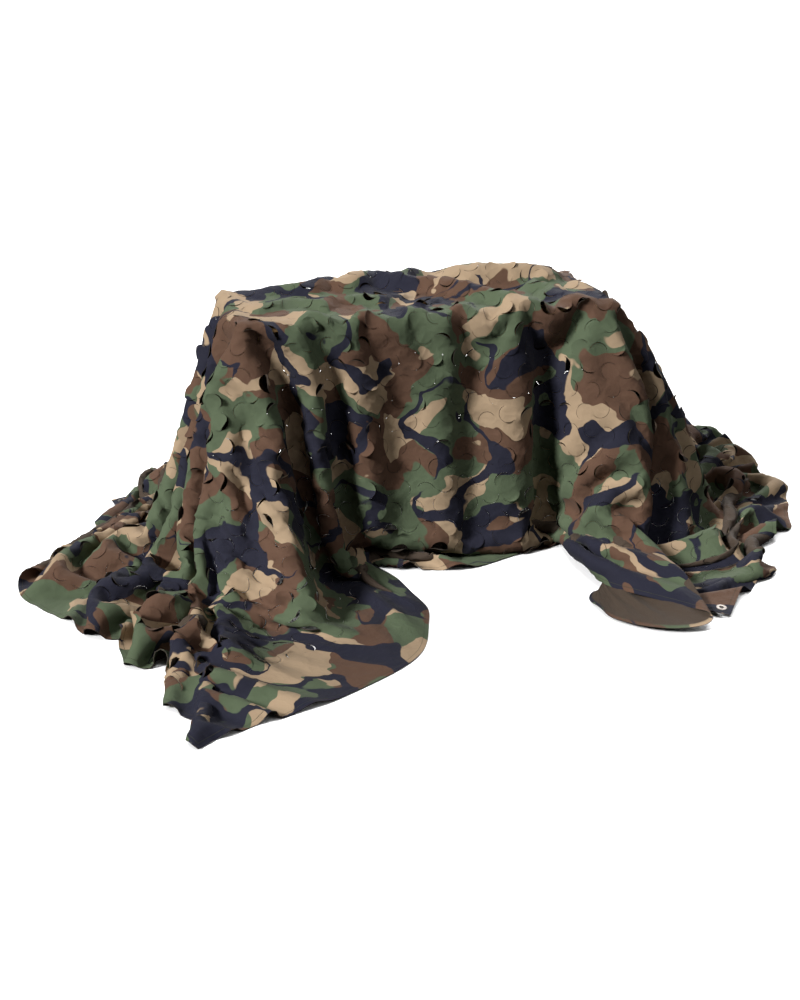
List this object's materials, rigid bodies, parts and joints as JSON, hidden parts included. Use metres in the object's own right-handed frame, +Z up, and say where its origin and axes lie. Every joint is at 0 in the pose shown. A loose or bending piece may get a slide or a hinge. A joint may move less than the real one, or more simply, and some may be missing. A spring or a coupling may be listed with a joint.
{
  "type": "camouflage net draped over a table",
  "caption": "Leaf-cut woodland camouflage net with a plain hem and corner eyelets, draped over a small plain table and pooling on the floor.",
  "frame": {"origin": "middle of the part's footprint, on the floor", "axes": "+X along the table's long side to the right, +Y to the back, +Z up"},
  "size_m": [2.007, 1.636, 0.6492],
  "materials": {
    "net": "matte printed polyester cloth, woodland pattern on its face and dull brown behind",
    "eyelet": "dark oxidised metal",
    "table": "plain satin wood"
  },
  "bodies": {
    "root": {"eyelet_back_left": "eyelet", "eyelet_back_right": "eyelet", "eyelet_front_right": "eyelet", "net": "net", "strip_back_left": "net", "strip_back_right": "net", "strip_front_right": "net", "table_board": "table", "table_leg_back_left": "table", "table_leg_back_right": "table", "table_leg_front_left": "table", "table_leg_front_right": "table", "table_rail_back": "table", "table_rail_front": "table", "table_rail_left": "table", "table_rail_right": "table"}
  },
  "joints": []
}
